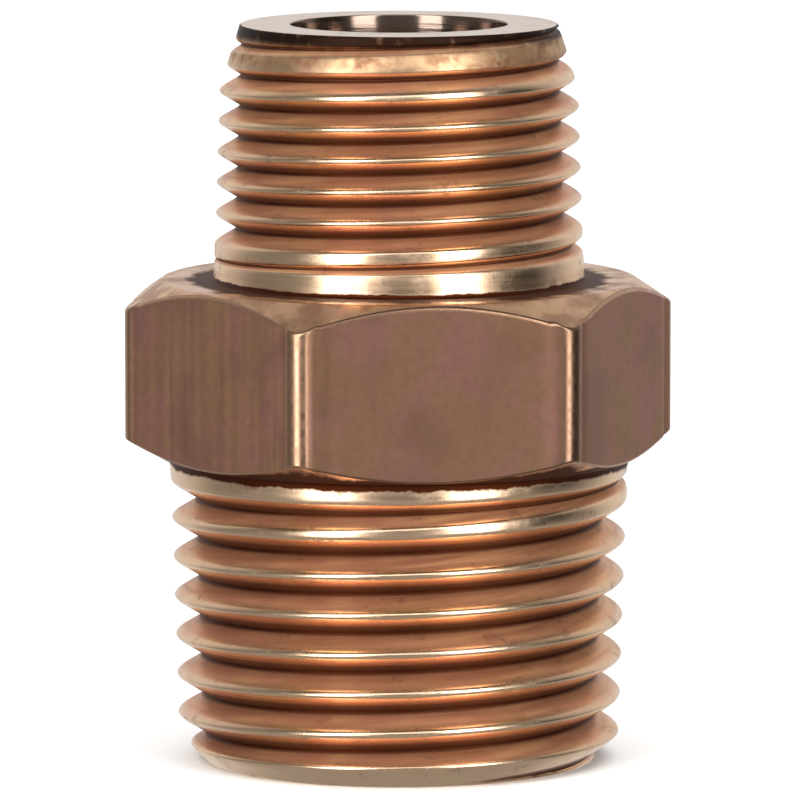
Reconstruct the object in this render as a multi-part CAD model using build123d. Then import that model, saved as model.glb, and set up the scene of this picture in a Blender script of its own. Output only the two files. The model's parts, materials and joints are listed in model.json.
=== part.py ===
"""Reducing hex nipple: one turned brass piece with a male tapered pipe thread at each end.

The larger thread (1/2-14 NPT) points down and the smaller one (3/8-18 NPT) points up. The
hexagon between them is the wrench grip, and a straight bore runs through the whole piece.
Millimetres, +Z along the bore, origin at the centre of the lower end face. Two flats of the
hexagon face +Y and -Y.
"""
from build123d import *
from dataclasses import dataclass
from math import atan, ceil, cos, degrees, radians, sqrt, tan
import os

# ---- driving dimensions: hexagon and bore ----
HEX_ACROSS_FLATS = 22.225        # 7/8 inch bar
HEX_CORNER_RADIUS = 0.85         # rounded corners of the drawn bar
HEX_HEIGHT = 8.15
HEX_UPPER_CHAMFER_ANGLE = 34.0   # from the upper end plane of the hexagon
HEX_LOWER_CHAMFER_ANGLE = 28.0   # from its lower end plane
HEX_UPPER_CHAMFER_RADIUS = 10.9  # where the chamfer leaves the upper end plane
HEX_LOWER_CHAMFER_RADIUS = 10.95 # where the chamfer leaves the lower end plane
BORE_DIAMETER = 9.8
BORE_MOUTH_CHAMFER = 0.1

# ---- driving dimensions: NPT thread form, common to both ends ----
THREAD_TAPER = 1 / 16            # on the diameter
FLANK_ANGLE = 30.0               # each flank, from a plane across the axis
CREST_TRUNCATION = 0.12          # of the pitch, off the sharp V
ROOT_TRUNCATION = 0.06           # of the pitch, off the sharp V
CUTTER_CLEARANCE = 0.05          # of the pitch, how far the cutter stands out of the blank
FADE_OVERRUN = 1.2               # of the fade, so that the cutter ends clear of the blank
FADE_START_ANGLE = 171.0         # polar angle, from +X, where both grooves start to fade


@dataclass
class Spigot:
    """One threaded end, measured from its own end face towards the hexagon."""
    pitch: float
    end_pitch_diameter: float    # E0, at the end face
    length: float                # end face to hexagon
    end_face_diameter: float
    end_chamfer_angle: float     # from the axis
    full_groove_gap: float       # hexagon to the last groove root of full depth
    fade_turns: float            # turns in which the groove's depth runs out to nothing


# both pitch diameters are one turn on the small side of the basic 19.264 and 15.545 mm
LOWER = Spigot(pitch=25.4 / 14, end_pitch_diameter=19.15, length=14.1, end_face_diameter=17.9,
               end_chamfer_angle=45.0, full_groove_gap=1.98, fade_turns=0.75)
UPPER = Spigot(pitch=25.4 / 18, end_pitch_diameter=15.46, length=11.75, end_face_diameter=14.6,
               end_chamfer_angle=18.0, full_groove_gap=2.36, fade_turns=1.1)

# ---- worked out from the above ----
RADIAL_TAPER = THREAD_TAPER / 2
TAPER_ANGLE = degrees(atan(RADIAL_TAPER))
FLANK_RUN = tan(radians(FLANK_ANGLE))            # axial travel of a flank per radial unit
SHARP_HEIGHT = sqrt(3) / 2                       # of the pitch, sharp V of 60 degrees
THREAD_DEPTH = SHARP_HEIGHT - CREST_TRUNCATION - ROOT_TRUNCATION
HEX_BOTTOM = LOWER.length
HEX_TOP = HEX_BOTTOM + HEX_HEIGHT
TOTAL_HEIGHT = HEX_TOP + UPPER.length
HEX_OVERLAP = HEX_HEIGHT / 2                     # how far a spigot's core reaches into the hexagon


def crest_radius(spigot, z):
    """Radius of the thread crests and of the plain collar, at z from the end face."""
    crest_height = (SHARP_HEIGHT / 2 - CREST_TRUNCATION) * spigot.pitch
    return spigot.end_pitch_diameter / 2 + crest_height + RADIAL_TAPER * z


def root_radius(spigot, z):
    """Radius of the thread roots, at z from the end face."""
    return crest_radius(spigot, z) - THREAD_DEPTH * spigot.pitch


def turned_solid(profile):
    """Solid of revolution about Z from a list of (radius, z) points."""
    outline = Polyline(*[(r, 0, z) for r, z in profile], close=True)
    return revolve(make_face(outline), Axis.Z, 360)


def spigot_blank(spigot):
    """Tapered core with its end chamfer, before threading, reaching into the hexagon."""
    end_radius = spigot.end_face_diameter / 2
    chamfer_slope = tan(radians(spigot.end_chamfer_angle))
    chamfer_length = (crest_radius(spigot, 0) - end_radius) / (chamfer_slope - RADIAL_TAPER)
    top = spigot.length + HEX_OVERLAP
    return turned_solid([
        (0, 0),
        (end_radius, 0),
        (crest_radius(spigot, chamfer_length), chamfer_length),
        (crest_radius(spigot, top), top),
        (0, top),
    ])


def conical_helix(pitch, height, radius, z, slope):
    """Right-hand helix from +X at height z, whose radius grows by slope per unit of height."""
    angle = degrees(atan(slope))
    return Edge.make_helix(pitch / cos(radians(angle)), height, radius, (0, 0, z), (0, 0, 1), angle)


def turn_cutter(section, pitch, start_radius, start_z, turns, slope):
    """Solid that cuts the groove over some turns from +X; section holds (rise, offset) corners."""
    edges = [conical_helix(pitch, turns * pitch, start_radius + rise, start_z + offset, slope)
             for rise, offset in section]
    faces = [Face.make_surface_from_curves(first, second)
             for first, second in zip(edges, edges[1:] + edges[:1])]
    for end in (0, 1):
        faces.append(Face(Wire.make_polygon([edge @ end for edge in edges])))
    return Solid(Shell(faces))


def groove_cutters(spigot):
    """Cutters of the V groove, one for each turn: full depth, then one that rises out and fades."""
    pitch = spigot.pitch
    depth = THREAD_DEPTH * pitch
    height = depth + CUTTER_CLEARANCE * pitch
    half_root = ROOT_TRUNCATION * pitch * FLANK_RUN
    half_mouth = half_root + height * FLANK_RUN
    section = [(0, -half_root), (0, half_root), (height, half_mouth), (height, -half_mouth)]

    fade_z = spigot.length - spigot.full_groove_gap
    full_turns = ceil(fade_z / pitch)            # the first turn starts off the end face
    cutters = []
    for turn in range(full_turns):
        start_z = fade_z - (full_turns - turn) * pitch
        radius = root_radius(spigot, start_z)
        cutters.append(turn_cutter(section, pitch, radius, start_z, 1, RADIAL_TAPER))
    fade_slope = RADIAL_TAPER + depth / (spigot.fade_turns * pitch)
    cutters.append(turn_cutter(section, pitch, root_radius(spigot, fade_z), fade_z,
                               spigot.fade_turns * FADE_OVERRUN, fade_slope))
    return cutters


def threaded_spigot(spigot, fade_angle):
    """Blank less its groove, end face at z = 0; fade_angle is in the spigot's own frame."""
    result = spigot_blank(spigot)
    for cutter in groove_cutters(spigot):
        result = result - Rot(0, 0, fade_angle) * cutter
    return result


def hexagon():
    """Wrench hexagon of drawn bar, with a turned chamfer at each end plane."""
    outline = RegularPolygon(HEX_ACROSS_FLATS / 2, 6, major_radius=False)
    prism = extrude(fillet(outline.vertices(), HEX_CORNER_RADIUS), HEX_HEIGHT)
    outside = HEX_ACROSS_FLATS / sqrt(3) * 1.03      # a little beyond the sharp corners
    lower_drop = (outside - HEX_LOWER_CHAMFER_RADIUS) * tan(radians(HEX_LOWER_CHAMFER_ANGLE))
    upper_drop = (outside - HEX_UPPER_CHAMFER_RADIUS) * tan(radians(HEX_UPPER_CHAMFER_ANGLE))
    envelope = turned_solid([
        (0, 0),
        (HEX_LOWER_CHAMFER_RADIUS, 0),
        (outside, lower_drop),
        (outside, HEX_HEIGHT - upper_drop),
        (HEX_UPPER_CHAMFER_RADIUS, HEX_HEIGHT),
        (0, HEX_HEIGHT),
    ])
    return Pos(0, 0, HEX_BOTTOM) * (prism & envelope)


def bore_cutter():
    """Straight bore with a small chamfer at each mouth."""
    radius = BORE_DIAMETER / 2
    mouth = radius + BORE_MOUTH_CHAMFER
    return turned_solid([
        (0, 0),
        (mouth, 0),
        (radius, BORE_MOUTH_CHAMFER),
        (radius, TOTAL_HEIGHT - BORE_MOUTH_CHAMFER),
        (mouth, TOTAL_HEIGHT),
        (0, TOTAL_HEIGHT),
    ])


def nipple_body():
    """The whole nipple as one solid."""
    lower = threaded_spigot(LOWER, FADE_START_ANGLE)
    # turned over, the spigot's own polar angles run the other way round
    upper = Pos(0, 0, TOTAL_HEIGHT) * Rot(180, 0, 0) * threaded_spigot(UPPER, -FADE_START_ANGLE)
    return hexagon() + lower + upper - bore_cutter()


os.makedirs("parts", exist_ok=True)
body = nipple_body()
export_step(body, "parts/nipple_body.step")
print("solids", len(body.solids()), "volume", round(body.volume, 1), "valid", body.is_valid)
print("height", TOTAL_HEIGHT, "box", body.bounding_box())
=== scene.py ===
"""Looks of the reducing hex nipple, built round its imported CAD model.

The CAD node is replaced by one closed mesh of the same shape, whose rows follow the two thread
helices, with every machined edge broken and every thread root rounded. Lengths of the mesh are
in millimetres until the object is made, and angles are in degrees unless a name says otherwise.
"""
import json
import math
from dataclasses import dataclass

import bpy
import numpy as np
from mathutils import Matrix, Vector, noise


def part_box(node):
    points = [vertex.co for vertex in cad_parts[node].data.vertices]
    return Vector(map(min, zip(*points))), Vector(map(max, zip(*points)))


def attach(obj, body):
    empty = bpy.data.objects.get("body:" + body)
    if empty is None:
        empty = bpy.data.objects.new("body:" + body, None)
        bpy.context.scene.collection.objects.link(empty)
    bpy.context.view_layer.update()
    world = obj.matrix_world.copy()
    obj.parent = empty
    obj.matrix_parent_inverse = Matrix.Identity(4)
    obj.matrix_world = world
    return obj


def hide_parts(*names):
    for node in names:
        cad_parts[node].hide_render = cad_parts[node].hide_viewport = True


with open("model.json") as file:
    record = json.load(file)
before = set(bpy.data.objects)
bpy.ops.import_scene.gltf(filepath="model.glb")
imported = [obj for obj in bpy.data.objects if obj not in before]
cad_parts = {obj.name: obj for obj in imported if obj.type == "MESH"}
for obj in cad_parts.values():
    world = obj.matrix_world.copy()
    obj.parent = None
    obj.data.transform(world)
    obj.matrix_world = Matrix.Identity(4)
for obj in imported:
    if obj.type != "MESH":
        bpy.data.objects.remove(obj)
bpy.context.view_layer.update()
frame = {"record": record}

NODE = "nipple_body"
MM = 0.001

# ---- sizes read from the frame, in millimetres ----
node_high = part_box(NODE)[1]
TOTAL_HEIGHT = node_high.z / MM
FLAT_RADIUS = node_high.y / MM
MOUNTS = {m["name"]: m for m in frame["record"]["mounts"]}
BORE_RADIUS = MOUNTS["bore"]["dims"]["r_mm"]
BORE_MOUTH_CHAMFER = (TOTAL_HEIGHT - MOUNTS["bore"]["dims"]["length_mm"]) / 2

# ---- sizes of the CAD model that the frame doesn't state ----
HEX_HEIGHT = 8.15
HEX_CORNER_RADIUS = 0.85
HEX_UPPER_CHAMFER_SLOPE = math.tan(math.radians(34))
HEX_LOWER_CHAMFER_SLOPE = math.tan(math.radians(28))
HEX_UPPER_CHAMFER_RADIUS = 10.9
HEX_LOWER_CHAMFER_RADIUS = 10.95
RADIAL_TAPER = 1 / 32
FLANK_SLOPE = math.sqrt(3)                   # radial rise of a thread flank per axial unit
CREST_TRUNCATION = 0.12                      # of the pitch, off the sharp V
ROOT_TRUNCATION = 0.06                       # of the pitch, off the sharp V
SEAM_ANGLE = 171.0                           # polar angle where both grooves start to fade


@dataclass
class Spigot:
    """One threaded end. A place s on it is measured from its end face towards the hexagon."""
    name: str
    pitch: float
    end_pitch_diameter: float
    length: float
    end_face_diameter: float
    end_chamfer_angle: float                 # from the axis
    full_groove_gap: float
    fade_turns: float

    def crest_radius(self, s):
        rise = (math.sqrt(3) / 4 - CREST_TRUNCATION) * self.pitch
        return self.end_pitch_diameter / 2 + rise + RADIAL_TAPER * s

    def apex_radius(self, s):
        """Radius at which the two flanks of a groove would meet."""
        return self.end_pitch_diameter / 2 - math.sqrt(3) / 4 * self.pitch + RADIAL_TAPER * s

    def chamfer_radius(self, s):
        return self.end_face_diameter / 2 + self.chamfer_slope * s

    def outline(self, s):
        return min(self.crest_radius(s), self.chamfer_radius(s))

    @property
    def chamfer_slope(self):
        return math.tan(math.radians(self.end_chamfer_angle))

    @property
    def chamfer_length(self):
        rise = self.crest_radius(0) - self.end_face_diameter / 2
        return rise / (self.chamfer_slope - RADIAL_TAPER)

    @property
    def fade_start(self):
        return self.length - self.full_groove_gap


LOWER = Spigot("lower", 25.4 / 14, 19.15, 14.1, 17.9, 45, 1.98, 0.75)
UPPER = Spigot("upper", 25.4 / 18, 15.46, 11.75, 14.6, 18, 2.36, 1.1)
HEX_BOTTOM = LOWER.length
HEX_TOP = HEX_BOTTOM + HEX_HEIGHT

# ---- how far edges are broken, in millimetres or as a share of the pitch ----
CREST_ROUNDING = 0.17                        # of the pitch, radial depth of the rounded crest edge
ROOT_ROUNDING = 0.06                         # of the pitch, lift of the rounded root off the V
CHAMFER_ROUNDING = 0.08                      # width of the rounded edge between crest and end chamfer
SHALLOWEST_GROOVE = 0.02                     # a turn of the groove less deep than this is left out
END_EDGE_RADIUS = 0.14
RIM_DEPTH = 0.13                             # grooves start this far from an end face
MOUTH_EDGE_RADIUS = 0.05
MOUTH_FLARE = 0.9                            # depth over which the bore's mouth opens out
MOUTH_DEPTH = 1.2                            # depth where the bore's straight wall takes over
HEX_UPPER_EDGE_RADIUS = 0.27
HEX_LOWER_EDGE_RADIUS = 0.16
HEX_UPPER_RIM_RADIUS = 0.25
HEX_LOWER_RIM_RADIUS = 0.05
COLLAR_FILLET = 0.15
WALL_FIRST, WALL_LAST = 3, 9                 # numbers of the outline's points on the hexagon's walls
PLANE_REACH = 2.2                            # how far the painted shade reaches out from a collar's foot
SHADED_SIDE = 261                             # polar angle where it reaches that far
UPPER_COLLAR_REACH = 0.22                    # and along each collar
LOWER_COLLAR_REACH = 0.50

# knocks on the crests: polar angle, height, half size and depth
DENT_RADIUS = 9.0                            # of the arc along which a knock's size is measured
DENTS = ((171, 29.85, 0.55, 0.16), (249, 30.6, 0.45, 0.06), (322, 26.3, 0.5, 0.08), (205, 6.9, 0.6, 0.09),
         (296, 3.2, 0.5, 0.07), (352, 9.0, 0.6, 0.12), (20, 28.2, 0.6, 0.12), (88, 5.1, 0.7, 0.14),
         (118, 27.5, 0.5, 0.10), (55, 10.4, 0.6, 0.10), (142, 1.9, 0.6, 0.13))
SLOW_WAVINESS = 0.014
QUICK_WAVINESS = 0.010
START_LENGTH = 2.0                           # how far down the upper thread its torn start reaches
START_FADE = 0.6                             # and over what length it fades out
RING_LENGTH = 0.62                           # the same for the band of painted shade under the upper end face
RING_FADE = 0.2
# Tones of the drawn flats and corners: they differ at random, except that the -Y flat (0.54) and the
# corner at 300 degrees (0.6) are darkened as painted shade.
FLAT_TONES = (0.95, 1.05, 0.85, 1.15, 0.54, 1.08)    # counted from +X round towards +Y
CORNER_TONES = (0.9, 1.0, 0.8, 0.9, 1.0, 0.6)

# ---- linear colours ----
COPPER_GOLD = (0.88, 0.54, 0.28)
COPPER_PINK = (0.84, 0.46, 0.29)
COPPER_PALE = (0.93, 0.67, 0.46)
COPPER_DULL = (0.48, 0.27, 0.17)
CREST_PALE = (0.94, 0.72, 0.50)
FLANK_GOLD = (0.78, 0.41, 0.205)
FLANK_RED = (0.64, 0.265, 0.155)
FLANK_DARK = (0.48, 0.20, 0.10)
START_GOLD = (0.56, 0.35, 0.19)
START_BROWN = (0.34, 0.16, 0.085)
# The next four colours are painted light: shade in roots, flanks and corners, shade under the upper end
# face, shade in the bore, and a highlight on the upper end face.
SHADE_BROWN = (0.075, 0.018, 0.006)
RING_SHADE_DARK = (0.030, 0.014, 0.009)
BORE_SHADE = (0.20, 0.15, 0.13)
FACE_HIGHLIGHT = (0.90, 0.76, 0.66)
WORN_EDGE = (0.50, 0.30, 0.19)
DRAWN_BROWN = (0.35, 0.19, 0.115)
DRAWN_PINK = (0.385, 0.185, 0.15)
DRAWN_GOLD = (0.42, 0.245, 0.13)
DRAWN_DARK = (0.24, 0.125, 0.10)
FLOOR_WHITE_LOW = (0.89, 0.89, 0.89)
FLOOR_WHITE_HIGH = (0.91, 0.91, 0.91)

# ---- light, as radiance, and camera, in degrees and metres ----
HORIZON_LEVEL = 0.22
CEILING_LEVEL = 0.07
FLOOR_LEVEL = 0.34
BACKDROP_LEVEL = 0.52
BACKDROP_ELEVATION = 20
BACKDROP_CORE = 36
BACKDROP_EDGE = 84
FLAG_SIDE = 80                               # from the camera's azimuth
FLAG_CORE = 8
FLAG_EDGE = 32
FLAG_LEVEL = 0.18
LAMP_DISTANCE = 0.5
KEY_SIDES = {"key_left": -35, "key_right": 38}        # from the camera's azimuth
KEY_ELEVATION = 12
KEY_WIDTH, KEY_HEIGHT = 0.22, 0.8
KEY_LEVEL = 4.6
TOP_ELEVATION = 48
TOP_WIDTH, TOP_HEIGHT = 0.5, 0.2
TOP_LEVEL = 1.6
FLOOR_LIGHT = 2.6
FLOOR_SIZE = 6.0
CAMERA_AZIMUTH = -8.6
CAMERA_ELEVATION = 7.1
CAMERA_DISTANCE = 0.43
CAMERA_SENSOR = 36                           # this and the next three in millimetres
CAMERA_LENS = 419.9
CAMERA_TARGET_SIDE = 0.05
CAMERA_TARGET_HEIGHT = 16.6


def soft_min(a, b, width):
    """The smaller of a and b, with the corner between them rounded over that width."""
    overlap = max(width - abs(a - b), 0.0) / width
    return min(a, b) - overlap * overlap * width / 4


# =====================================================================================
# Threaded spigots
# =====================================================================================

@dataclass
class Groove:
    """Where one turn of the groove crosses a column: its number, centre, V and two edges."""
    number: int
    centre: float
    apex: float
    low_edge: float
    high_edge: float
    depth: float


def grooves_at(spigot, turn):
    """Every turn of the groove that cuts the spigot at this share, 0 to 1, of a turn."""
    found = []
    lowest = -math.ceil(spigot.fade_start / spigot.pitch) - 1
    depth = (math.sqrt(3) / 2 - CREST_TRUNCATION - ROOT_TRUNCATION) * spigot.pitch
    for number in range(lowest, 2):
        turns = turn + number                # turns since the groove started to fade
        centre = spigot.fade_start + spigot.pitch * turns
        lift = depth * max(turns, 0.0) / spigot.fade_turns
        apex = spigot.apex_radius(centre) + lift
        outline = spigot.outline(centre)
        root = apex + ROOT_ROUNDING * spigot.pitch
        if outline - root < SHALLOWEST_GROOVE:
            continue
        low = max((apex + FLANK_SLOPE * centre - radius0) / (slope + FLANK_SLOPE)
                  for radius0, slope in ((spigot.crest_radius(0), RADIAL_TAPER),
                                         (spigot.chamfer_radius(0), spigot.chamfer_slope)))
        high = min((radius0 - apex + FLANK_SLOPE * centre) / (FLANK_SLOPE - slope)
                   for radius0, slope in ((spigot.crest_radius(0), RADIAL_TAPER),
                                          (spigot.chamfer_radius(0), spigot.chamfer_slope)))
        if high > RIM_DEPTH:
            found.append(Groove(number, centre, apex, low, high, outline - root))
    return found


def spigot_radius(spigot, s, grooves):
    """Outer radius at s, with the groove's root and all edges rounded."""
    radius = soft_min(spigot.crest_radius(s), spigot.chamfer_radius(s), CHAMFER_ROUNDING)
    rounding = CREST_ROUNDING * spigot.pitch
    for g in grooves:
        run = (s - g.centre) * FLANK_SLOPE
        groove = g.apex + math.hypot(run, ROOT_ROUNDING * spigot.pitch)
        radius = soft_min(radius, groove, min(rounding, 0.5 * (g.high_edge - g.low_edge)))
    return radius


def spigot_rows(spigot, turn):
    """Labelled places s of one column, from the end face to the hexagon, with their radii."""
    grooves = grooves_at(spigot, turn)
    rows = []
    for g in grooves:
        half = (g.high_edge - g.low_edge) / 2
        edge = min(0.11 * spigot.pitch, 0.35 * half)
        root = min(0.09 * spigot.pitch, 0.4 * half)
        places = [g.low_edge + edge * k for k in (-0.56, -0.28, 0, 0.3, 0.6, 1)]
        places.append((g.low_edge + edge + g.centre - root) / 2)
        places += [g.centre + root * k for k in (-1, -0.5, 0, 0.5, 1)]
        places.append((g.high_edge - edge + g.centre + root) / 2)
        places += [g.high_edge - edge * k for k in (1, 0.6, 0.3, 0, -0.28, -0.56)]
        rows += [((spigot.name, g.number, i), s) for i, s in enumerate(places) if s > RIM_DEPTH]

    crest_start = spigot.chamfer_length
    fixed = [RIM_DEPTH + 0.02, 0.35, 0.6, 0.85, 1.1, 1.35]
    fixed += [crest_start + d for d in (-0.1, -0.05, 0, 0.05, 0.1)]
    fixed += [spigot.length - d for d in (2.2, 1.9, 1.6, 1.3, 1.0, 0.7, 0.45, 0.25)]
    clear = 0.08 * spigot.pitch
    for i, s in enumerate(fixed):
        if all(s < g.low_edge - clear or s > g.high_edge + clear for g in grooves):
            rows.append(((spigot.name, "line", i), s))
    rows.sort(key=lambda row: row[1])
    return [(label, spigot_radius(spigot, s, grooves), s) for label, s in rows]


# =====================================================================================
# Turned and hexagonal outline between the spigots, end faces and bore
# =====================================================================================

def rounded(name, points):
    """Labelled outline through points (radius, z, edge radius, arc steps), first and last left out."""
    rows = []
    for i in range(1, len(points) - 1):
        before, corner, after = (Vector(p[:2]) for p in points[i - 1:i + 2])
        radius, steps = points[i][2:]
        back = (before - corner).normalized()
        ahead = (after - corner).normalized()
        if not steps:
            rows.append(((name, i, 0), corner.x, corner.y))
            continue
        half_angle = back.angle(ahead) / 2
        reach = radius / math.tan(half_angle)
        centre = corner + (back + ahead).normalized() * radius / math.sin(half_angle)
        start = corner + back * reach - centre
        end = corner + ahead * reach - centre
        sweep = start.angle(end)
        for k in range(steps + 1):
            share = k / steps
            a = math.sin((1 - share) * sweep) / math.sin(sweep)
            b = math.sin(share * sweep) / math.sin(sweep)
            p = centre + start * a + end * b
            rows.append(((name, i, k), p.x, p.y))
    return rows


def hexagon_radius(angle):
    """Radius of the hexagon's wall at a polar angle, with the drawn bar's rounded corners."""
    off_corner = math.radians((angle + 30) % 60 - 30)
    arc_centre = (FLAT_RADIUS - HEX_CORNER_RADIUS) / math.cos(math.radians(30))
    half_arc = HEX_CORNER_RADIUS ** 2 - (arc_centre * math.sin(off_corner)) ** 2
    off_flat = math.radians(30) - abs(off_corner)
    flat = FLAT_RADIUS / math.cos(off_flat)
    if half_arc <= 0:
        return flat
    return min(flat, arc_centre * math.cos(off_corner) + math.sqrt(half_arc))


def hexagon_rows(angle):
    wall = hexagon_radius(angle)
    lower_collar = LOWER.crest_radius(LOWER.length)
    upper_collar = UPPER.crest_radius(UPPER.length)
    low_corner = HEX_BOTTOM + (wall - HEX_LOWER_CHAMFER_RADIUS) * HEX_LOWER_CHAMFER_SLOPE
    high_corner = HEX_TOP - (wall - HEX_UPPER_CHAMFER_RADIUS) * HEX_UPPER_CHAMFER_SLOPE
    wall_rows = 6
    wall_points = [(wall, low_corner + (high_corner - low_corner) * k / wall_rows, 0, 0)
                   for k in range(1, wall_rows)]
    return rounded("hex", [
        (lower_collar, HEX_BOTTOM - 1, 0, 0),
        (lower_collar, HEX_BOTTOM, COLLAR_FILLET, 3),
        (HEX_LOWER_CHAMFER_RADIUS, HEX_BOTTOM, HEX_LOWER_RIM_RADIUS, 2),
        (wall, low_corner, HEX_LOWER_EDGE_RADIUS, 4),
        *wall_points,
        (wall, high_corner, HEX_UPPER_EDGE_RADIUS, 4),
        (HEX_UPPER_CHAMFER_RADIUS, HEX_TOP, HEX_UPPER_RIM_RADIUS, 3),
        (upper_collar + (HEX_UPPER_CHAMFER_RADIUS - upper_collar) * 0.6, HEX_TOP, 0, 0),
        (upper_collar + (HEX_UPPER_CHAMFER_RADIUS - upper_collar) * 0.3, HEX_TOP, 0, 0),
        (upper_collar, HEX_TOP, COLLAR_FILLET, 3),
        (upper_collar, HEX_TOP + 1, 0, 0),
    ])


def end_face_rows(spigot):
    """Outline from the bore's wall over the mouth and the end face to the end chamfer, with z = s."""
    mouth = BORE_RADIUS + BORE_MOUTH_CHAMFER
    edge = spigot.end_face_diameter / 2
    return rounded(spigot.name + "_face", [
        (BORE_RADIUS, MOUTH_DEPTH, 0, 0),
        (BORE_RADIUS, MOUTH_FLARE, 0, 0),
        (mouth - 0.01, 0.1, 0, 0),
        (mouth, 0, MOUTH_EDGE_RADIUS, 2),
        (mouth + (edge - mouth) / 3, 0, 0, 0),
        (mouth + (edge - mouth) * 2 / 3, 0, 0, 0),
        (edge, 0, END_EDGE_RADIUS, 4),
        (spigot.chamfer_radius(1), 1, 0, 0),
    ])


def bore_rows():
    """The bore's wall from its upper mouth down to its lower one."""
    steps = 24
    wall_length = TOTAL_HEIGHT - 2 * MOUTH_DEPTH
    return [(("bore", k, 0), BORE_RADIUS, TOTAL_HEIGHT - MOUTH_DEPTH - wall_length * k / steps)
            for k in range(steps + 1)]


def column_rows(angle, turn):
    """The whole closed outline at one polar angle: lower end, hexagon, upper end, bore."""
    lower_turn = turn
    upper_turn = 1 - turn
    rows = end_face_rows(LOWER)
    rows += spigot_rows(LOWER, lower_turn)
    rows += hexagon_rows(angle)
    rows += [(label, r, TOTAL_HEIGHT - s) for label, r, s in reversed(spigot_rows(UPPER, upper_turn))]
    rows += [(label, r, TOTAL_HEIGHT - s) for label, r, s in reversed(end_face_rows(UPPER))]
    return rows + bore_rows()


# =====================================================================================
# Mesh
# =====================================================================================

def column_angles():
    """Polar angles of the columns from the seam round, closer together at the hexagon's corners."""
    near = [0.3, 0.6, 0.9, 1.2, 1.5, 1.8, 2.1, 2.5, 3.4]
    far = list(np.linspace(5.0, 30, 12))
    offsets = [0.0] + near + far + [-a for a in near + far[:-1]]
    angles = sorted((corner + off - SEAM_ANGLE) % 360 for corner in range(0, 360, 60) for off in offsets)
    nearest = min(range(len(angles)), key=lambda i: min(angles[i], 360 - angles[i]))
    angles[nearest] = 0.0
    return [SEAM_ANGLE + a for a in sorted(angles)]


def bridge(first, second):
    """Faces between two columns, given as lists of (label, vertex, place): quads where both columns
    have both labels, and triangles where a turn of the groove begins or ends."""
    place_of = {label: j for j, (label, _, _) in enumerate(second)}
    common = [(i, place_of[label]) for i, (label, _, _) in enumerate(first) if label in place_of]
    faces = []
    for (i0, j0), (i1, j1) in zip(common, common[1:]):
        if i1 - i0 == 1 and j1 - j0 == 1:
            faces.append((first[i0][1], second[j0][1], second[j1][1], first[i1][1]))
            continue
        i, j = i0, j0
        while i < i1 or j < j1:
            step_first = j == j1 or (i < i1 and first[i + 1][2] <= second[j + 1][2])
            if step_first:
                faces.append((first[i][1], second[j][1], first[i + 1][1]))
                i += 1
            else:
                faces.append((first[i][1], second[j][1], second[j + 1][1]))
                j += 1
    return faces


def shifted(label):
    """The label that the last column gives to a row that the first column calls by this one."""
    part, number, index = label
    if part == LOWER.name and number != "line":
        return part, number - 1, index
    if part == UPPER.name and number != "line":
        return part, number + 1, index
    return label


def surface_waviness(theta, z):
    """How far the cut surface of a spigot lies inside its nominal shape, at an angle in radians."""
    place = Vector((math.cos(theta) * 3.5, math.sin(theta) * 3.5, z * 0.8))
    slow = 0.5 + 0.5 * noise.noise(place)
    quick = 0.5 + 0.5 * noise.noise(place * 3.1)
    return SLOW_WAVINESS * slow + QUICK_WAVINESS * quick


def groove_depth(label, radius, z, grooves):
    """0 on the outside of a spigot and 1 at the root of the groove, however shallow it is there."""
    if label[:2] not in grooves:
        return 0.0
    spigot, s = (LOWER, z) if label[0] == LOWER.name else (UPPER, TOTAL_HEIGHT - z)
    return min(max((spigot.outline(s) - radius) / max(grooves[label[:2]], 0.1), 0.0), 1.0)


def thread_start(label, z):
    """1 on the torn first turn of the upper thread, falling to 0 below it."""
    if label[0] != UPPER.name:
        return 0.0
    return min(max((START_LENGTH - (TOTAL_HEIGHT - z)) / START_FADE, 0.0), 1.0)


def end_ring(radius, z):
    """1 on the narrow band just under the upper end face that is darkened as painted shade, 0 below it and
    on the face.
    """
    depth = TOTAL_HEIGHT - z
    if radius < UPPER.end_face_diameter / 2 - 0.06 or depth < 0.01:
        return 0.0
    return min(max((RING_LENGTH - depth) / RING_FADE, 0.0), 1.0)


def dent(angle, z):
    """Depth of the knocks on the crests at a polar angle and height."""
    total = 0.0
    for dent_angle, dent_z, half_size, depth in DENTS:
        around = math.radians((angle - dent_angle + 180) % 360 - 180) * DENT_RADIUS
        away = math.hypot(around, z - dent_z) / half_size
        total += depth * max(1 - away * away, 0.0) ** 2
    return total


def flat_tone(label, angle):
    """How light the drawn skin is: every flat and corner of the bar is tarnished a little differently, and
    the -Y flat and the corner at 300 degrees are darkened further as painted shade.
    """
    if label[0] != "hex":
        return 1.0
    off_corner = (angle + 30) % 60 - 30
    if abs(off_corner) < 2.2:
        return CORNER_TONES[round(angle / 60) % 6]
    return FLAT_TONES[math.floor(angle / 60) % 6]


def nook(radius, angle, z):
    """1 in the corner between a collar and the hexagon, where shade is painted, falling to 0 away from it.
    """
    if radius < BORE_RADIUS + 1:
        return 0.0
    plane_reach = PLANE_REACH * (0.6 + 0.4 * math.cos(math.radians(angle - SHADED_SIDE)))
    distances = [math.hypot((radius - spigot.crest_radius(spigot.length)) / plane_reach,
                            (z - plane) / reach)
                 for spigot, plane, reach in ((UPPER, HEX_TOP, UPPER_COLLAR_REACH),
                                              (LOWER, HEX_BOTTOM, LOWER_COLLAR_REACH))]
    return max(1 - min(distances), 0.0)


def is_wall(label):
    return label[0] == "hex" and WALL_FIRST <= label[1] <= WALL_LAST


def edge_wear(label, angle):
    """1 on the rounded edges and corners of the hexagon's walls, 0 elsewhere."""
    if not is_wall(label):
        return 0.0
    off_corner = abs((angle + 30) % 60 - 30)
    corner = min(max((3.0 - off_corner) / 1.2, 0.0), 1.0)
    rounding = label[1] in (WALL_FIRST, WALL_LAST) and 0 < label[2] < 4
    return max(corner, float(rounding))


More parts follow.
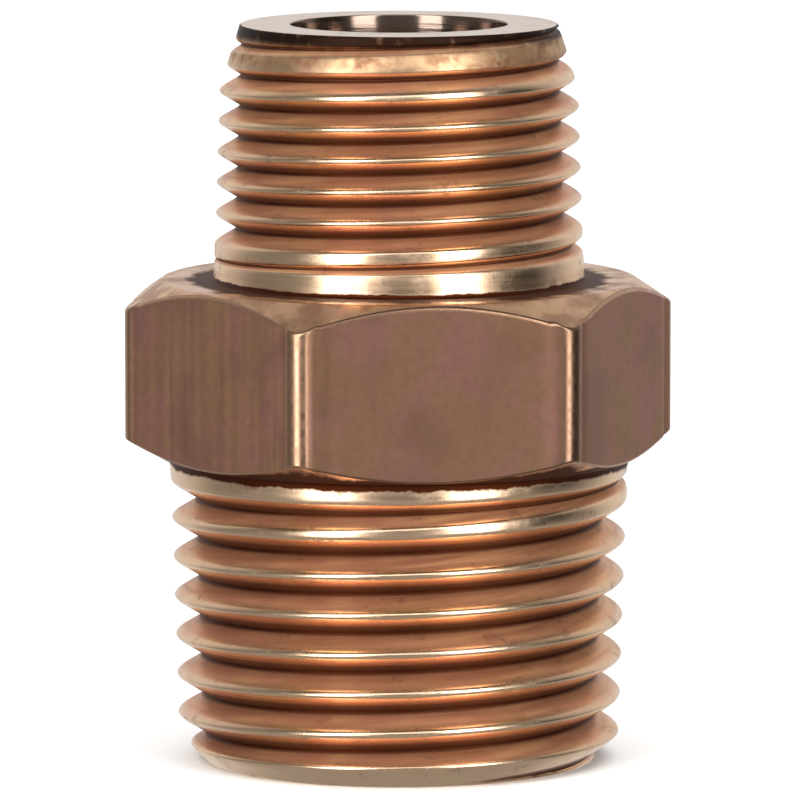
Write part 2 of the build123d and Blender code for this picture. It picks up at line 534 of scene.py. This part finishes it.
def build_body():
    """The nipple's mesh object: drawn hexagon walls in slot 1 of its materials, the rest in slot 0."""
    vertices = []
    attributes = {"groove_depth": [], "nook": [], "edge_wear": [], "thread_start": [], "flat_tone": [],
                  "end_ring": []}
    walls = []
    columns = []
    for angle in column_angles():
        turn = (angle - SEAM_ANGLE) / 360
        theta = math.radians(angle)
        grooves = {(spigot.name, g.number): g.depth
                   for spigot, share in ((LOWER, turn), (UPPER, 1 - turn))
                   for g in grooves_at(spigot, share)}
        column = []
        for label, nominal_radius, z in column_rows(angle, turn):
            radius = nominal_radius
            if label[0] in (LOWER.name, UPPER.name):
                radius -= surface_waviness(theta, z) + dent(angle, z)
            column.append((label, len(vertices), z))
            vertices.append((radius * math.cos(theta), radius * math.sin(theta), z))
            attributes["groove_depth"].append(groove_depth(label, nominal_radius, z, grooves))
            attributes["thread_start"].append(thread_start(label, z))
            attributes["flat_tone"].append(flat_tone(label, angle))
            attributes["end_ring"].append(end_ring(nominal_radius, z))
            attributes["nook"].append(nook(radius, angle, z))
            attributes["edge_wear"].append(edge_wear(label, angle))
            walls.append(is_wall(label))
        columns.append(column)
    closing = [(shifted(label), vertex, place) for label, vertex, place in columns[0]]
    faces = []
    for first, second in zip(columns, columns[1:] + [closing]):
        loop_first = first + [(("loop", 0, 0), first[0][1], first[0][2])]
        loop_second = second + [(("loop", 0, 0), second[0][1], second[0][2])]
        faces += bridge(loop_first, loop_second)

    mesh = bpy.data.meshes.new("nipple_body_skin")
    mesh.from_pydata([tuple(c * MM for c in v) for v in vertices], [], faces)
    mesh.update()
    for polygon in mesh.polygons:
        polygon.use_smooth = True
        polygon.material_index = int(all(walls[v] for v in polygon.vertices))
    for name, values in attributes.items():
        attribute = mesh.attributes.new(name, "FLOAT", "POINT")
        attribute.data.foreach_set("value", values)
    body = bpy.data.objects.new("nipple_body_skin", mesh)
    bpy.context.scene.collection.objects.link(body)
    weigh = body.modifiers.new("weigh", "WEIGHTED_NORMAL")
    weigh.keep_sharp = False
    return body


# =====================================================================================
# Materials
# =====================================================================================

class Shading:
    """One material, with short calls that add nodes to it and return their outputs."""

    def __init__(self, name):
        self.material = bpy.data.materials.new(name)
        self.material.use_nodes = True
        self.tree = self.material.node_tree
        self.tree.nodes.clear()
        output = self.tree.nodes.new("ShaderNodeOutputMaterial")
        self.shader = self.tree.nodes.new("ShaderNodeBsdfPrincipled")
        self.tree.links.new(self.shader.outputs["BSDF"], output.inputs["Surface"])
        place = self.tree.nodes.new("ShaderNodeTexCoord").outputs["Object"]
        self.place = self.vector("SCALE", place, factor=1 / MM)
        self.facing = self.tree.nodes.new("ShaderNodeNewGeometry").outputs["Normal"]

    def fill(self, socket, value):
        """Links an output to a socket, or sets the socket to a plain value."""
        if isinstance(value, bpy.types.NodeSocket):
            self.tree.links.new(value, socket)
        else:
            socket.default_value = value

    def vector(self, operation, first, second=None, factor=None):
        node = self.tree.nodes.new("ShaderNodeVectorMath")
        node.operation = operation
        self.fill(node.inputs[0], first)
        if second is not None:
            self.fill(node.inputs[1], second)
        if factor is not None:
            self.fill(node.inputs["Scale"], factor)
        return node.outputs["Value" if operation in ("LENGTH", "DOT_PRODUCT") else "Vector"]

    def math(self, operation, first, second=0.0):
        node = self.tree.nodes.new("ShaderNodeMath")
        node.operation = operation
        self.fill(node.inputs[0], first)
        self.fill(node.inputs[1], second)
        return node.outputs["Value"]

    def along(self, axis):
        """The place, in millimetres, along a fixed direction."""
        return self.vector("DOT_PRODUCT", self.place, axis)

    def combine(self, x, y, z):
        node = self.tree.nodes.new("ShaderNodeCombineXYZ")
        for socket, value in zip(node.inputs, (x, y, z)):
            self.fill(socket, value)
        return node.outputs["Vector"]

    def noise(self, place, scale, detail=2.0, distortion=0.0):
        node = self.tree.nodes.new("ShaderNodeTexNoise")
        self.fill(node.inputs["Vector"], place)
        node.inputs["Scale"].default_value = scale
        node.inputs["Detail"].default_value = detail
        node.inputs["Distortion"].default_value = distortion
        return node.outputs["Fac"]

    def attribute(self, name):
        node = self.tree.nodes.new("ShaderNodeAttribute")
        node.attribute_name = name
        return node.outputs["Fac"]

    def remap(self, value, low, high, new_low=0.0, new_high=1.0):
        """The value's range low to high, in either order, stretched to a new range and clamped."""
        node = self.tree.nodes.new("ShaderNodeMapRange")
        self.fill(node.inputs["Value"], value)
        node.inputs["From Min"].default_value = low
        node.inputs["From Max"].default_value = high
        node.inputs["To Min"].default_value = new_low
        node.inputs["To Max"].default_value = new_high
        return node.outputs["Result"]

    def mix(self, share, first, second, blend="MIX"):
        node = self.tree.nodes.new("ShaderNodeMix")
        node.data_type = "RGBA"
        node.blend_type = blend
        self.fill(node.inputs["Factor"], share)
        for name, colour in (("A", first), ("B", second)):
            socket = next(i for i in node.inputs if i.name == name and i.type == "RGBA")
            self.fill(socket, (*colour, 1) if isinstance(colour, tuple) else colour)
        return next(o for o in node.outputs if o.type == "RGBA")

    def blend(self, share, first, second):
        node = self.tree.nodes.new("ShaderNodeMix")
        self.fill(node.inputs["Factor"], share)
        self.fill(node.inputs["A"], first)
        self.fill(node.inputs["B"], second)
        return node.outputs["Result"]

    def bump(self, height, depth_mm, strength=1.0):
        node = self.tree.nodes.new("ShaderNodeBump")
        node.inputs["Strength"].default_value = strength
        node.inputs["Distance"].default_value = depth_mm * MM
        self.fill(node.inputs["Height"], height)
        return node.outputs["Normal"]

    def finish(self, colour, roughness, metallic, normal=None):
        self.fill(self.shader.inputs["Base Color"], colour)
        self.fill(self.shader.inputs["Roughness"], roughness)
        self.fill(self.shader.inputs["Metallic"], metallic)
        if normal is not None:
            self.fill(self.shader.inputs["Normal"], normal)
        return self.material


def turned_brass():
    """Lathe-turned surfaces: fine rings and stained patches, with painted shade in the thread roots, on
    the downward flanks, in the corners at the collars, under the upper end face and in the bore, and a
    painted highlight on the upper end face.
    """
    m = Shading("turned_brass")
    radius = m.vector("LENGTH", m.combine(m.along((1, 0, 0)), m.along((0, 1, 0)), 0))
    profile = m.math("ADD", m.along((0, 0, 1)), radius)
    rings = m.combine(m.along((0.16, 0, 0)), m.along((0, 0.16, 0)), m.math("MULTIPLY", profile, 5.0))
    ring = m.noise(rings, 1.0, 3.0)
    patch = m.noise(m.place, 0.42, 3.0, 0.4)
    stain = m.noise(m.place, 0.7, 4.0, 0.2)
    speck = m.noise(m.place, 4.0, 3.0)

    colour = m.mix(m.remap(patch, 0.40, 0.62), COPPER_PINK, COPPER_GOLD)
    colour = m.mix(m.remap(ring, 0.35, 0.70, 0.0, 0.35), colour, COPPER_PALE)
    dull = m.math("MULTIPLY", m.remap(stain, 0.50, 0.66), m.remap(speck, 0.35, 0.6, 0.3, 1.0))
    colour = m.mix(m.math("MULTIPLY", dull, 0.4), colour, COPPER_DULL)

    depth = m.attribute("groove_depth")
    upward = m.vector("DOT_PRODUCT", m.facing, (0, 0, 1))
    in_groove = m.remap(depth, 0.12, 0.40)
    upper_flank = m.math("MULTIPLY", m.remap(upward, 0.2, 0.7), in_groove)
    # Painted shade: the downward-facing flanks are darkened from mid-depth to the root.
    under_flank = m.math("MULTIPLY", m.remap(upward, -0.2, -0.7), m.remap(depth, 0.24, 0.60))
    # Painted shade: the bottom of each groove is darkened.
    root = m.remap(depth, 0.84, 0.97)
    # Painted shade in the corners at the collars' feet, broken up by stain noise.
    ragged = m.math("ADD", m.attribute("nook"), m.remap(stain, 0.3, 0.7, -0.12, 0.20))
    corner = m.remap(m.math("ADD", ragged, m.remap(speck, 0.3, 0.7, -0.06, 0.06)), 0.15, 0.40)
    # One mask for the painted shade of flanks, roots and corners, joined below by the band under the upper
    # end face; it also roughens these places.
    painted_shade = m.math("MAXIMUM", m.math("MULTIPLY", under_flank, 0.85), m.math("MAXIMUM", root, corner))
    streaks = m.combine(m.along((0.30, 0, 0)), m.along((0, 0.30, 0)), m.along((0, 0, 0.03)))
    streak = m.noise(streaks, 1.0, 2.0, 0.2)
    flank = m.mix(m.remap(streak, 0.40, 0.60), FLANK_RED, FLANK_GOLD)
    flank = m.mix(m.remap(ring, 0.60, 0.36, 0.0, 0.9), flank, FLANK_DARK)
    worn_crest = m.math("MULTIPLY", m.remap(depth, 0.40, 0.05), m.remap(upward, 0.9, 0.5))
    colour = m.mix(m.math("MULTIPLY", worn_crest, 0.55), colour, CREST_PALE)
    colour = m.mix(m.math("MULTIPLY", upper_flank, 0.85), colour, flank)
    start = m.math("MULTIPLY", m.attribute("thread_start"), m.remap(upward, 0.9, 0.6))
    torn = m.noise(m.place, 1.3, 3.0, 0.3)
    start_colour = m.mix(m.remap(torn, 0.36, 0.56), START_BROWN, START_GOLD)
    colour = m.mix(m.math("MULTIPLY", start, 0.9), colour, start_colour)
    # Painted shade: a dark band under the upper end face, broken up by noise.
    ring_shade = m.math("MULTIPLY", m.attribute("end_ring"), m.remap(torn, 0.66, 0.52, 0.6, 1.0))
    painted_shade = m.math("MAXIMUM", painted_shade, ring_shade)
    height = m.along((0, 0, 1))
    on_hexagon = m.math("MULTIPLY", m.remap(height, HEX_BOTTOM - 0.1, HEX_BOTTOM),
                        m.remap(height, HEX_TOP + 0.1, HEX_TOP))
    browned = m.math("MULTIPLY", on_hexagon, m.remap(stain, 0.42, 0.58, 0.15, 0.75))
    colour = m.mix(browned, colour, COPPER_DULL)
    # Painted highlight: the upper end face is paled towards a near-white colour.
    top_face_highlight = m.remap(height, TOTAL_HEIGHT - 0.04, TOTAL_HEIGHT - 0.01)
    colour = m.mix(m.math("MULTIPLY", top_face_highlight, 0.8), colour, FACE_HIGHLIGHT)
    # Painted shade: the bore's wall is darkened; it is also made smoother further down.
    inside = m.remap(radius, BORE_RADIUS + 0.13, BORE_RADIUS + 0.10)
    colour = m.mix(m.math("MULTIPLY", inside, 0.9), colour, BORE_SHADE)
    # Painted shade: roots, downward flanks, collar corners and the band under the upper end face are
    # darkened.
    colour = m.mix(painted_shade, colour, SHADE_BROWN)
    colour = m.mix(ring_shade, colour, RING_SHADE_DARK)

    roughness = m.remap(ring, 0.3, 0.7, 0.19, 0.29)
    roughness = m.math("ADD", roughness, m.math("MULTIPLY", dull, 0.12))
    roughness = m.blend(upper_flank, roughness, 0.38)
    roughness = m.blend(start, roughness, m.remap(torn, 0.65, 0.35, 0.38, 0.58))
    roughness = m.blend(browned, roughness, 0.42)
    roughness = m.blend(inside, roughness, 0.14)
    roughness = m.blend(painted_shade, roughness, 0.55)
    metallic = m.remap(upper_flank, 0.0, 1.0, 1.0, 0.7)
    relief = m.math("ADD", ring, m.math("MULTIPLY", speck, 0.35))
    relief = m.math("ADD", relief, m.math("MULTIPLY", start, m.math("MULTIPLY", torn, 4.0)))
    return m.finish(colour, roughness, metallic, m.bump(relief, 0.012, 0.6))


def drawn_brass():
    """Drawn flats of the hexagon: dull, with lines along the bar and brighter, worn edges."""
    m = Shading("drawn_brass")
    lines = m.noise(m.combine(m.along((2.4, 0, 0)), m.along((0, 2.4, 0)), m.along((0, 0, 0.10))), 1.0, 3.0)
    patch = m.noise(m.place, 0.45, 3.0, 0.5)
    mottle = m.noise(m.place, 2.6, 4.0)
    colour = m.mix(m.remap(patch, 0.42, 0.62), DRAWN_BROWN, DRAWN_PINK)
    colour = m.mix(m.remap(lines, 0.35, 0.65, 0.0, 0.45), colour, DRAWN_GOLD)
    colour = m.mix(m.remap(mottle, 0.42, 0.70, 0.0, 0.30), colour, DRAWN_DARK)
    cloud = m.noise(m.place, 0.28, 2.0, 0.3)
    colour = m.mix(m.remap(cloud, 0.48, 0.68, 0.0, 0.45), colour, DRAWN_DARK)
    worn = m.math("MULTIPLY", m.attribute("edge_wear"), m.remap(mottle, 0.3, 0.7, 0.55, 1.0))
    colour = m.mix(worn, colour, WORN_EDGE)
    # Tone per flat and corner: random tarnish, and painted shade on the -Y flat and the corner at 300
    # degrees.
    tone = m.attribute("flat_tone")
    colour = m.mix(1.0, colour, m.combine(tone, tone, tone), "MULTIPLY")
    roughness = m.blend(worn, m.remap(lines, 0.3, 0.7, 0.52, 0.60), 0.24)
    height = m.math("ADD", m.math("MULTIPLY", lines, 0.8), m.math("MULTIPLY", mottle, 0.4))
    return m.finish(colour, roughness, 1.0, m.bump(height, 0.015, 0.5))


# =====================================================================================
# Stage, light and camera
# =====================================================================================

def add_floor():
    half = FLOOR_SIZE / 2
    mesh = bpy.data.meshes.new("floor")
    mesh.from_pydata([(-half, -half, 0), (half, -half, 0), (half, half, 0), (-half, half, 0)], [],
                     [(0, 1, 2, 3)])
    floor = bpy.data.objects.new("floor", mesh)
    bpy.context.scene.collection.objects.link(floor)
    pale = Shading("pale_floor")
    grain = pale.noise(pale.place, 0.02, 2.0)
    colour = pale.mix(grain, FLOOR_WHITE_LOW, FLOOR_WHITE_HIGH)
    mesh.materials.append(pale.finish(colour, roughness=0.9, metallic=0.0))
    floor.visible_glossy = False
    floor.visible_shadow = False


def direction(azimuth, elevation):
    """Unit vector towards a place seen from the object: azimuth 0 is the -Y side, 90 the +X side."""
    a, e = math.radians(azimuth), math.radians(elevation)
    return Vector((math.sin(a) * math.cos(e), -math.cos(a) * math.cos(e), math.sin(e)))


def add_softbox(name, side, elevation, width, height, radiance):
    """Rectangular lamp that faces the middle of the nipple, at an angle from the camera's azimuth."""
    light = bpy.data.lights.new(name, "AREA")
    light.shape = "RECTANGLE"
    light.size = width
    light.size_y = height
    light.energy = radiance * math.pi * width * height
    lamp = bpy.data.objects.new(name, light)
    away = direction(CAMERA_AZIMUTH + side, elevation)
    lamp.location = Vector((0, 0, TOTAL_HEIGHT / 2 * MM)) + away * LAMP_DISTANCE
    lamp.rotation_euler = (-away).to_track_quat("-Z", "Y").to_euler()
    bpy.context.scene.collection.objects.link(lamp)


def add_world():
    """Studio surroundings that the metal reflects; the camera itself sees plain white.

    Three parts add up: a room that is grey round the horizon, lighter below and dark above, a
    bright backdrop behind and above the nipple, and a dark flag on its right.
    """
    world = bpy.data.worlds.new("studio")
    world.use_nodes = True
    tree = world.node_tree
    background = tree.nodes["Background"]

    def dot(axis):
        node = tree.nodes.new("ShaderNodeVectorMath")
        node.operation = "DOT_PRODUCT"
        tree.links.new(looking, node.inputs[0])
        node.inputs[1].default_value = axis
        return node.outputs["Value"]

    def smooth(value, low, high, new_low, new_high):
        node = tree.nodes.new("ShaderNodeMapRange")
        node.interpolation_type = "SMOOTHSTEP"
        tree.links.new(value, node.inputs["Value"])
        node.inputs["From Min"].default_value = low
        node.inputs["From Max"].default_value = high
        node.inputs["To Min"].default_value = new_low
        node.inputs["To Max"].default_value = new_high
        return node.outputs["Result"]

    def add(first, second):
        node = tree.nodes.new("ShaderNodeMath")
        tree.links.new(first, node.inputs[0])
        tree.links.new(second, node.inputs[1])
        return node.outputs["Value"]

    looking = tree.nodes.new("ShaderNodeTexCoord").outputs["Generated"]
    up = dot((0, 0, 1))
    room = add(smooth(up, -0.75, -0.15, FLOOR_LEVEL - CEILING_LEVEL, HORIZON_LEVEL - CEILING_LEVEL),
               smooth(up, 0.30, 0.85, CEILING_LEVEL, 2 * CEILING_LEVEL - HORIZON_LEVEL))
    backdrop = smooth(dot(direction(CAMERA_AZIMUTH + 180, BACKDROP_ELEVATION)),
                      math.cos(math.radians(BACKDROP_EDGE)), math.cos(math.radians(BACKDROP_CORE)),
                      0.0, BACKDROP_LEVEL)
    flag = smooth(dot(direction(CAMERA_AZIMUTH + FLAG_SIDE, 0)),
                  math.cos(math.radians(FLAG_EDGE)), math.cos(math.radians(FLAG_CORE)),
                  0.0, -FLAG_LEVEL)
    level = add(add(room, backdrop), flag)
    camera_ray = tree.nodes.new("ShaderNodeLightPath").outputs["Is Camera Ray"]
    choose = tree.nodes.new("ShaderNodeMix")
    tree.links.new(camera_ray, choose.inputs["Factor"])
    tree.links.new(level, choose.inputs["A"])
    choose.inputs["B"].default_value = 1.0
    background.inputs["Color"].default_value = (1, 1, 1, 1)
    tree.links.new(choose.outputs["Result"], background.inputs["Strength"])
    bpy.context.scene.world = world


def add_floor_light():
    """Even light for the floor alone, soft enough to leave only a faint shadow under the nipple."""
    sun = bpy.data.lights.new("floor_light", "SUN")
    sun.energy = FLOOR_LIGHT
    sun.angle = math.radians(90)
    lamp = bpy.data.objects.new("floor_light", sun)
    lamp.visible_glossy = False
    bpy.context.scene.collection.objects.link(lamp)


def add_camera():
    data = bpy.data.cameras.new("camera")
    data.sensor_width = CAMERA_SENSOR
    data.lens = CAMERA_LENS
    camera = bpy.data.objects.new("camera", data)
    back = direction(CAMERA_AZIMUTH, CAMERA_ELEVATION)
    target = Vector((CAMERA_TARGET_SIDE * MM, 0, CAMERA_TARGET_HEIGHT * MM))
    camera.location = target + back * CAMERA_DISTANCE
    camera.rotation_euler = (-back).to_track_quat("-Z", "Y").to_euler()
    data.clip_start, data.clip_end = 0.01, 20
    bpy.context.scene.collection.objects.link(camera)
    bpy.context.scene.camera = camera


body = build_body()
body.data.materials.append(turned_brass())
body.data.materials.append(drawn_brass())
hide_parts(NODE)
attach(body, "root")

add_floor()
add_world()
add_floor_light()
for key_name, key_side in KEY_SIDES.items():
    add_softbox(key_name, key_side, KEY_ELEVATION, KEY_WIDTH, KEY_HEIGHT, KEY_LEVEL)
add_softbox("top_front", 0, TOP_ELEVATION, TOP_WIDTH, TOP_HEIGHT, TOP_LEVEL)
add_camera()
bpy.context.scene.view_settings.view_transform = "Standard"
